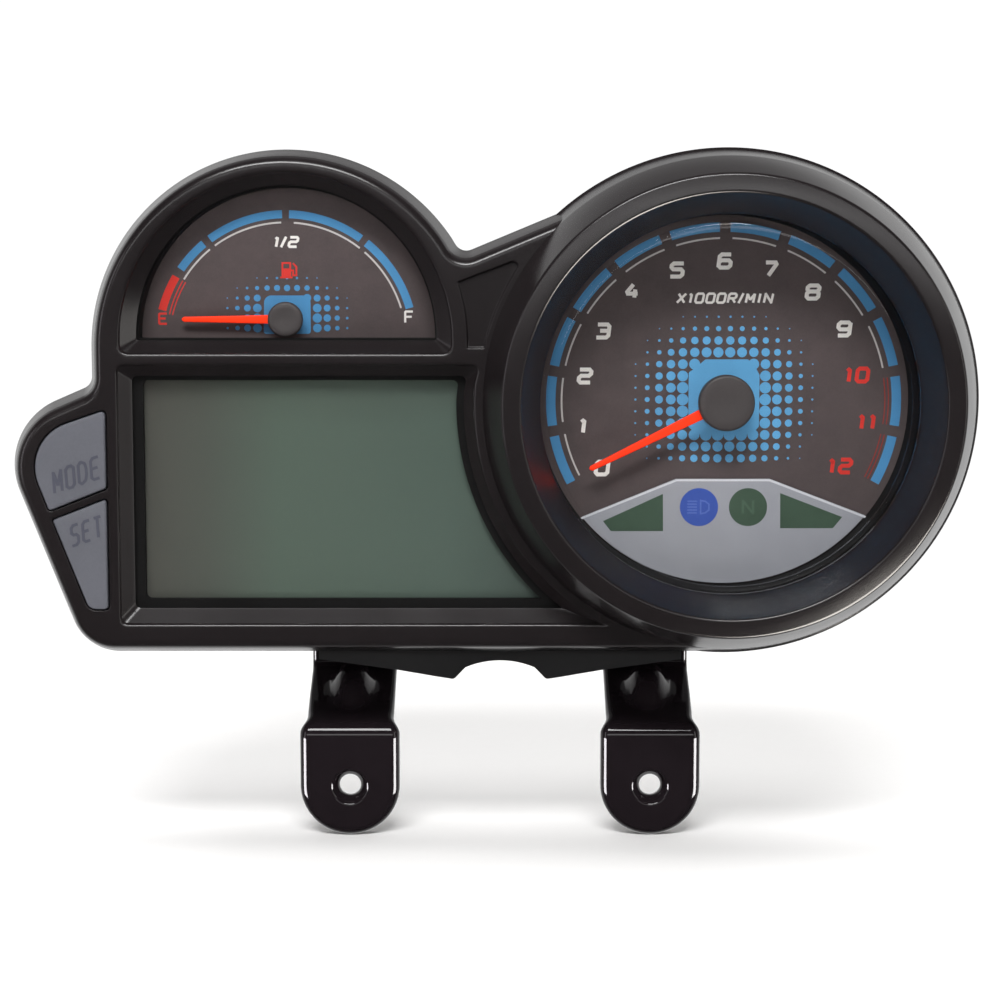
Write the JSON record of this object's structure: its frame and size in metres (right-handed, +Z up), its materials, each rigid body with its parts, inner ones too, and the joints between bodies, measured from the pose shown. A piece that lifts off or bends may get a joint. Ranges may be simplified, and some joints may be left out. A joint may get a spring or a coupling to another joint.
{
  "type": "motorcycle instrument cluster",
  "caption": "Instrument cluster with a round tachometer, arched fuel gauge, blank LCD window, two keys, tell-tale panel and a pair of drop brackets.",
  "frame": {"origin": "midway between the two bracket holes, in the plane of their collars", "axes": "+X to the viewer's right along the cluster's length, +Z up, the face looks along -Y"},
  "size_m": [0.2293, 0.062, 0.1675],
  "materials": {
    "backlight_plate": "frosted",
    "blue_lens": "tinted",
    "bobbin_plastic": "moulded",
    "brass_part": "turned",
    "cap_black": "satin",
    "case_black": "fine texture",
    "chip_black": "moulded",
    "clear_lens": "clear",
    "copper_wire": "enamelled",
    "dial_charcoal": "fine grain print",
    "gloss_paint": "gloss black",
    "green_lens": "tinted",
    "key_grey": "matte",
    "lcd_glass": "grey green",
    "led_yellow": "phosphor",
    "magnet_ferrite": "sintered",
    "mask_black": "matte",
    "needle_orange": "luminous",
    "pcb_green": "solder mask",
    "rear_black": "moulded",
    "rubber_black": "matte",
    "silver_trim": "satin",
    "socket_ivory": "moulded",
    "steel_tin": "bright",
    "white_plastic": "moulded",
    "zinc_steel": "zinc plated"
  },
  "bodies": {
    "housing": {"front_bezel": "case_black", "rear_case": "rear_black", "lower_skirt": "rear_black", "case_seal": "rubber_black", "window_lens": "clear_lens", "tach_lens": "clear_lens", "tach_lens_seal": "rubber_black", "tach_shroud": "mask_black", "window_mask": "mask_black", "dial_carrier": "white_plastic", "tach_dial": "dial_charcoal", "fuel_dial": "dial_charcoal", "indicator_trim": "silver_trim", "turn_signal_lenses": "green_lens", "high_beam_lens": "blue_lens", "neutral_lens": "green_lens", "telltale_light_box": "white_plastic", "lcd_panel": "lcd_glass", "lcd_backlight": "backlight_plate", "lcd_holder": "white_plastic", "lcd_pins": "steel_tin", "main_pcb": "pcb_green", "microcontroller": "chip_black", "capacitors": "chip_black", "voltage_regulator": "chip_black", "backlight_leds": "led_yellow", "telltale_leds": "led_yellow", "tach_movement_can": "steel_tin", "tach_bobbin": "bobbin_plastic", "tach_coil_sine": "copper_wire", "tach_coil_cosine": "copper_wire", "fuel_movement_can": "steel_tin", "fuel_bobbin": "bobbin_plastic", "fuel_coil_sine": "copper_wire", "fuel_coil_cosine": "copper_wire", "mode_switch": "chip_black", "set_switch": "chip_black", "harness_socket": "socket_ivory", "harness_pins": "steel_tin", "vent_plug": "rubber_black", "bracket_left": "gloss_paint", "bracket_right": "gloss_paint", "bracket_pads": "rubber_black", "bracket_bolts": "zinc_steel", "bracket_washers": "zinc_steel", "threaded_inserts": "brass_part", "case_screws": "zinc_steel", "pcb_screws": "zinc_steel"},
    "tach_pointer": {"tach_needle": "needle_orange", "tach_needle_cap": "cap_black", "tach_rotor_magnet": "magnet_ferrite", "tach_spindle": "zinc_steel"},
    "fuel_pointer": {"fuel_needle": "needle_orange", "fuel_needle_cap": "cap_black", "fuel_rotor_magnet": "magnet_ferrite", "fuel_spindle": "zinc_steel"},
    "mode_key": {"mode_button": "key_grey", "mode_switch_plunger": "brass_part"},
    "set_key": {"set_button": "key_grey", "set_switch_plunger": "brass_part"}
  },
  "joints": [
    {"name": "tach_needle_turn", "type": "hinge", "parent": "housing", "child": "tach_pointer", "pos_m": [0.05365, 0, 0.0953], "axis": [0, 1, 0], "range_deg": [0, 236]},
    {"name": "fuel_needle_turn", "type": "hinge", "parent": "housing", "child": "fuel_pointer", "pos_m": [-0.05067, 0, 0.115], "axis": [0, 1, 0], "range_deg": [0, 180]},
    {"name": "mode_key_press", "type": "slide", "parent": "housing", "child": "mode_key", "axis": [0, 1, 0], "range_m": [0, 0.001], "stiffness_N_per_m": 1500, "springref_m": -0.0003},
    {"name": "set_key_press", "type": "slide", "parent": "housing", "child": "set_key", "axis": [0, 1, 0], "range_m": [0, 0.001], "stiffness_N_per_m": 1500, "springref_m": -0.0003}
  ]
}
